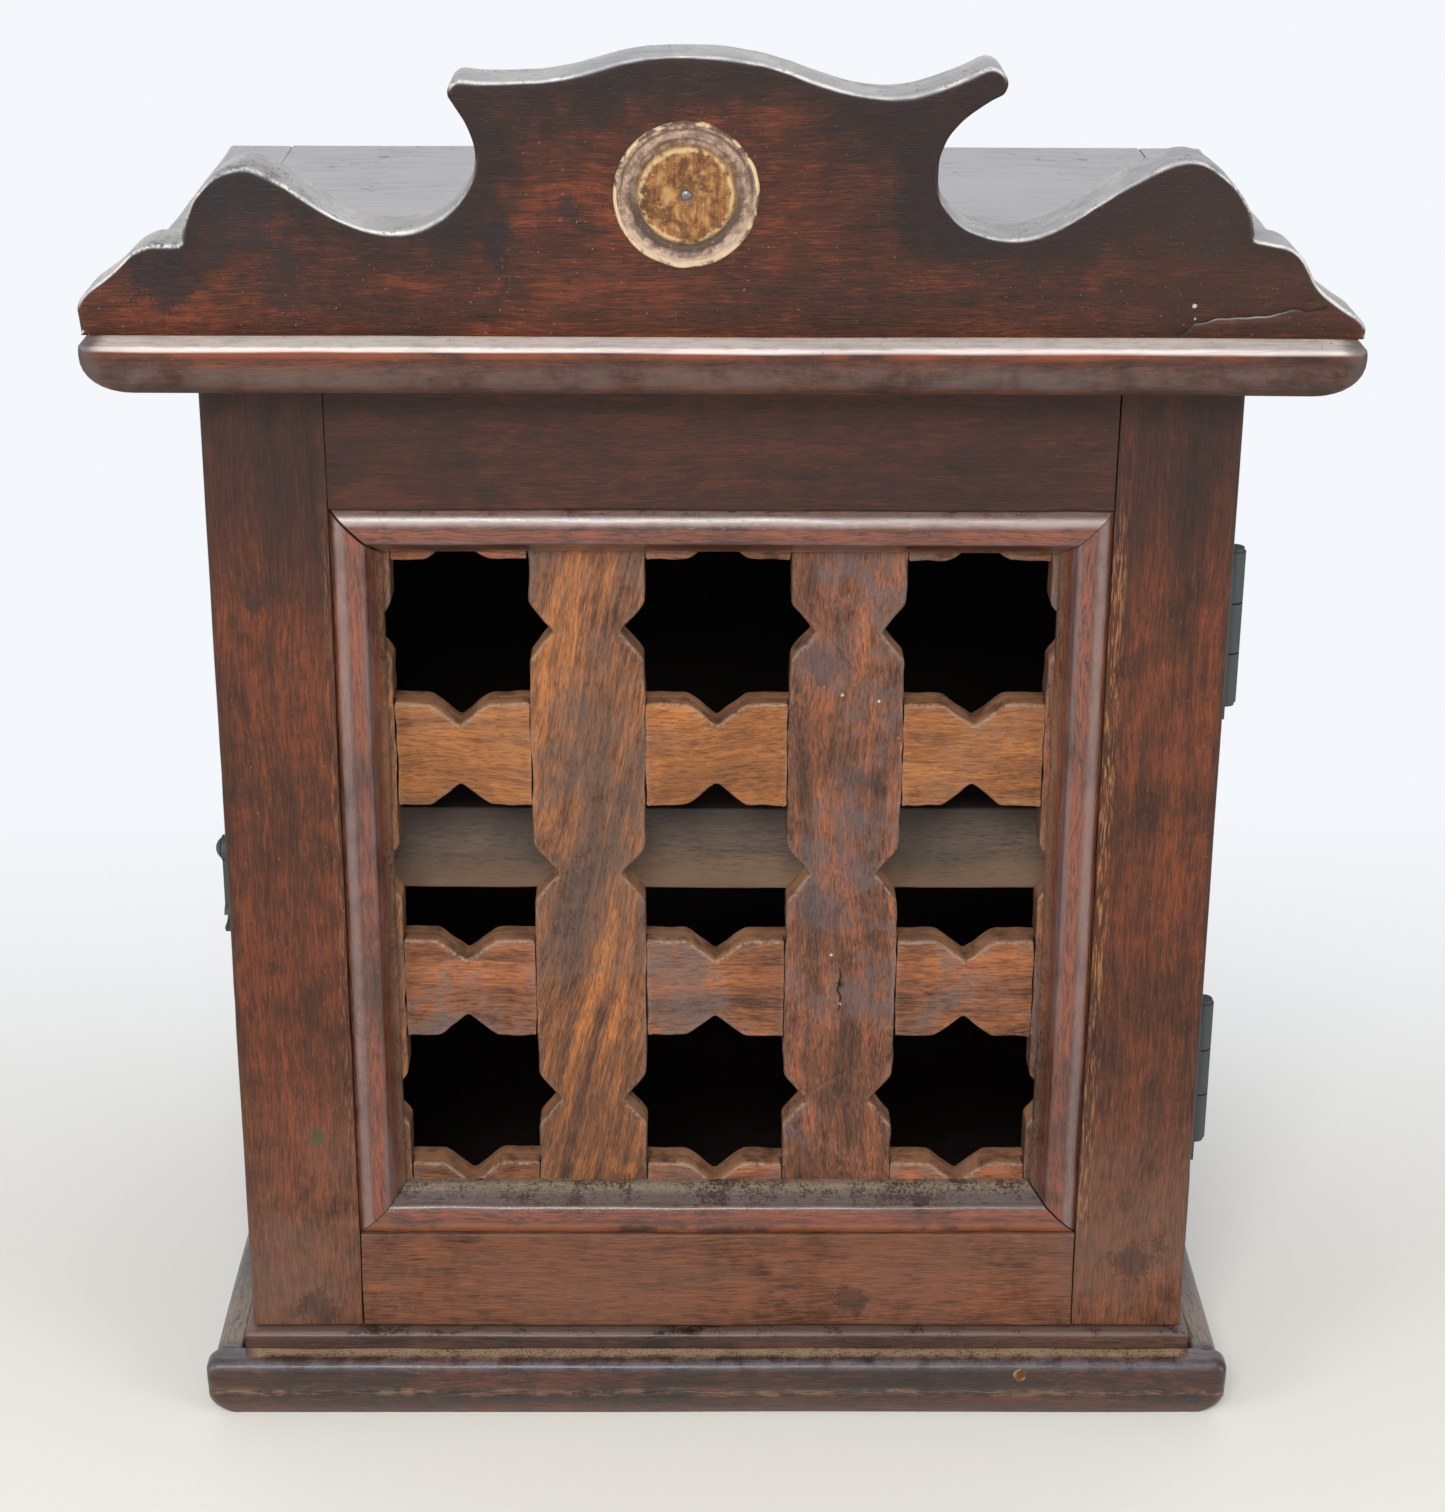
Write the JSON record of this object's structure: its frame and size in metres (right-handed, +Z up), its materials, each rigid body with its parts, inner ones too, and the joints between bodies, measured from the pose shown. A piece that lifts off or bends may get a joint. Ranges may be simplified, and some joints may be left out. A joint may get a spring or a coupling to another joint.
{
  "type": "key cabinet",
  "caption": "Small wooden key cabinet with a hinged lattice door, moulded base and cornice, and a scroll-cut crest with a turned rosette.",
  "frame": {"origin": "middle of the cabinet's footprint box, on the surface that it stands on", "axes": "+X to the right seen from the door side, +Y from the door to the back, +Z up"},
  "size_m": [0.2856, 0.241, 0.3454],
  "materials": {
    "frame_wood": "old dark stain and wax, worn at the edges",
    "lattice_wood": "worn stain over reddish grain, dusty arrises",
    "inner_wood": "unpolished, dusty",
    "pale_wood": "bare turned wood, rubbed",
    "hinge_iron": "blackened iron, slightly oxidised",
    "nail_steel": "old steel, dull",
    "hook_brass": "tarnished"
  },
  "bodies": {
    "case": {"base_front": "frame_wood", "base_left": "frame_wood", "base_right": "frame_wood", "bottom_board": "frame_wood", "side_left": "frame_wood", "side_right": "frame_wood", "top_board": "frame_wood", "cornice_front": "frame_wood", "cornice_left": "frame_wood", "cornice_right": "frame_wood", "crest_board": "frame_wood", "back_board": "inner_wood", "cross_rail": "inner_wood", "rosette": "pale_wood", "base_peg": "pale_wood", "hinge_leaf_case_upper": "hinge_iron", "hinge_leaf_case_lower": "hinge_iron", "hinge_pin_upper": "hinge_iron", "hinge_pin_lower": "hinge_iron", "latch_catch_pin": "hinge_iron", "hinge_screws_case": "nail_steel", "back_nails": "nail_steel", "bottom_nails": "nail_steel", "cross_rail_nails": "nail_steel", "crest_nails": "nail_steel", "rosette_nail": "nail_steel", "key_hooks_rail": "hook_brass", "key_hooks_back": "hook_brass"},
    "door": {"stile_left": "frame_wood", "stile_right": "frame_wood", "rail_top": "frame_wood", "rail_bottom": "frame_wood", "moulding_top": "frame_wood", "moulding_bottom": "frame_wood", "moulding_left": "frame_wood", "moulding_right": "frame_wood", "lattice_edge_left": "lattice_wood", "lattice_edge_right": "lattice_wood", "lattice_edge_top": "lattice_wood", "lattice_edge_bottom": "lattice_wood", "lattice_slat_left": "lattice_wood", "lattice_slat_right": "lattice_wood", "lattice_slat_upper": "lattice_wood", "lattice_slat_lower": "lattice_wood", "hinge_leaf_door_upper": "hinge_iron", "hinge_leaf_door_lower": "hinge_iron", "hinge_screws_door": "nail_steel", "latch_pivot_screw": "hinge_iron"},
    "latch_hook": {"latch_hook": "hinge_iron"}
  },
  "joints": [
    {"name": "door_hinge", "type": "hinge", "parent": "case", "child": "door", "pos_m": [0.1222, -0.0808, 0.147], "axis": [0, 0, 1], "range_deg": [0, 170]},
    {"name": "latch_swing", "type": "hinge", "parent": "door", "child": "latch_hook", "pos_m": [-0.1201, -0.0895, 0.152], "axis": [1, 0, 0], "range_deg": [-270, 65]}
  ]
}
